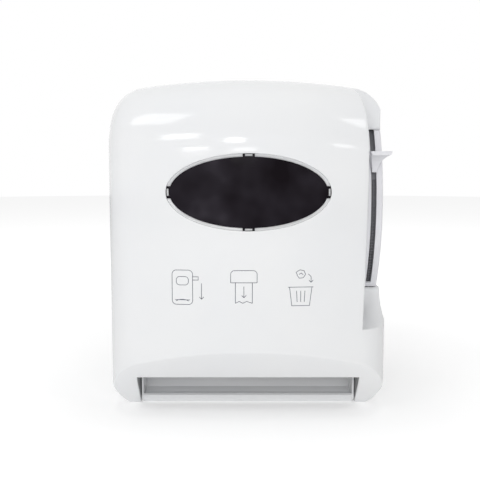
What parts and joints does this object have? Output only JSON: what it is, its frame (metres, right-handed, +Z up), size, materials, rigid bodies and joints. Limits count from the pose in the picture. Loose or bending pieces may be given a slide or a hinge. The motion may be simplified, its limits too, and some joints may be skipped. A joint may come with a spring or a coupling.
{
  "type": "lever paper towel dispenser",
  "caption": "Wall-mounted paper towel roll dispenser with a crowned white cover, a smoked oval window and a side lever that feeds paper over a tear bar.",
  "frame": {"origin": "middle of the base, on the level of the base's underside, 80 mm in front of the wall face", "axes": "+X to the right as the user faces the dispenser, +Y from the user towards the wall, +Z up"},
  "size_m": [0.3105, 0.236, 0.3716],
  "materials": {
    "chrome_lock": "polished nickel plate",
    "dark_strip": "satin dark grey nylon",
    "gear_nylon": "unpigmented acetal",
    "grey_abs": "fine satin light grey ABS",
    "roller_rubber": "matt moulded rubber",
    "smoked_lens": "polished dark smoke tinted polycarbonate",
    "spring_steel": "bright drawn spring wire",
    "white_abs": "glossy moulded white ABS",
    "zinc_steel": "zinc plated steel"
  },
  "bodies": {
    "housing": {"rear_housing": "white_abs", "hinge_pins": "zinc_steel", "frame_left": "grey_abs", "frame_right": "grey_abs", "frame_screws": "zinc_steel", "lever_pin": "zinc_steel", "lever_clip": "zinc_steel", "idler_pin": "zinc_steel", "idler_clip": "zinc_steel", "lever_housing": "grey_abs", "housing_screws": "zinc_steel", "bush_left": "gear_nylon", "bush_right": "gear_nylon", "carriage_rod": "zinc_steel", "paper_chute": "white_abs", "front_guide": "grey_abs", "tear_bar": "zinc_steel", "tear_bar_screws": "zinc_steel", "roll_brackets": "zinc_steel", "arm_pins": "zinc_steel", "bracket_screws": "zinc_steel", "return_spring": "spring_steel", "pinch_springs": "spring_steel", "latch_hook": "zinc_steel", "latch_screw": "zinc_steel", "frame_spacers": "zinc_steel"},
    "cover": {"front_cover": "white_abs", "window_lens": "smoked_lens", "lock_body": "chrome_lock", "lock_nut": "zinc_steel"},
    "lock": {"lock_barrel": "chrome_lock", "lock_cam": "zinc_steel"},
    "lever": {"lever_arm": "grey_abs", "lever_paddle": "grey_abs", "slot_strip": "dark_strip", "slot_shield": "dark_strip", "sector_gear": "gear_nylon"},
    "idler": {"idler_gear": "gear_nylon"},
    "drive_roller": {"drive_shaft": "zinc_steel", "roller_core": "grey_abs", "roller_sleeves": "roller_rubber", "roller_pinion": "gear_nylon", "clutch_hub": "zinc_steel", "shaft_clip": "zinc_steel"},
    "carriage": {"pinch_carriage": "grey_abs"},
    "pinch_roller": {"pinch_roller": "roller_rubber", "pinch_shaft": "zinc_steel"},
    "arm_left": {"roll_arm_left": "grey_abs"},
    "arm_right": {"roll_arm_right": "grey_abs"},
    "hub_left": {"core_hub_left": "grey_abs"},
    "hub_right": {"core_hub_right": "grey_abs"}
  },
  "joints": [
    {"name": "cover_hinge", "type": "hinge", "parent": "housing", "child": "cover", "pos_m": [0, -0.006, 0.018], "axis": [1, 0, 0], "range_deg": [0, 88]},
    {"name": "lock_turn", "type": "hinge", "parent": "cover", "child": "lock", "pos_m": [0, -0.04, 0.36], "axis": [0, 0, -1], "range_deg": [0, 90]},
    {"name": "lever_swing", "type": "hinge", "parent": "housing", "child": "lever", "pos_m": [0.135, 0.062, 0.229], "axis": [1, 0, 0], "range_deg": [0, 45], "stiffness_Nm_per_rad": 0.5, "springref_deg": -28.65, "deforming": ["return_spring"]},
    {"name": "idler_spin", "type": "hinge", "parent": "housing", "child": "idler", "pos_m": [0.127, -0.0183, 0.14808], "axis": [1, 0, 0], "range_deg": [-298, 0]},
    {"name": "drive_spin", "type": "hinge", "parent": "housing", "child": "drive_roller", "pos_m": [0, -0.036, 0.104], "axis": [1, 0, 0], "range_deg": [0, 409]},
    {"name": "carriage_swing", "type": "hinge", "parent": "housing", "child": "carriage", "pos_m": [0, -0.072, 0.128], "axis": [1, 0, 0], "range_deg": [-8, 0], "stiffness_Nm_per_rad": 1, "springref_deg": 20.05, "deforming": ["pinch_springs"]},
    {"name": "pinch_spin", "type": "hinge", "parent": "carriage", "child": "pinch_roller", "pos_m": [0, -0.0632, 0.10162], "axis": [1, 0, 0], "range_deg": [-695, 0]},
    {"name": "arm_left_swing", "type": "hinge", "parent": "housing", "child": "arm_left", "pos_m": [-0.10675, 0.066, 0.243], "axis": [0, 0, -1], "range_deg": [0, 3.5], "stiffness_Nm_per_rad": 2, "springref_deg": -5.73},
    {"name": "arm_right_swing", "type": "hinge", "parent": "housing", "child": "arm_right", "pos_m": [0.10675, 0.066, 0.243], "axis": [0, 0, 1], "range_deg": [0, 3.5], "stiffness_Nm_per_rad": 2, "springref_deg": -5.73},
    {"name": "hub_left_spin", "type": "hinge", "parent": "arm_left", "child": "hub_left", "pos_m": [-0.095, -0.044, 0.243], "axis": [1, 0, 0], "continuous": true},
    {"name": "hub_right_spin", "type": "hinge", "parent": "arm_right", "child": "hub_right", "pos_m": [0.095, -0.044, 0.243], "axis": [1, 0, 0], "continuous": true}
  ],
  "couplings": [
    {"joint": "idler_spin", "follows": "lever_swing", "ratio": -6.6},
    {"joint": "drive_spin", "follows": "lever_swing", "ratio": 9.075},
    {"joint": "pinch_spin", "follows": "lever_swing", "ratio": -15.428}
  ]
}
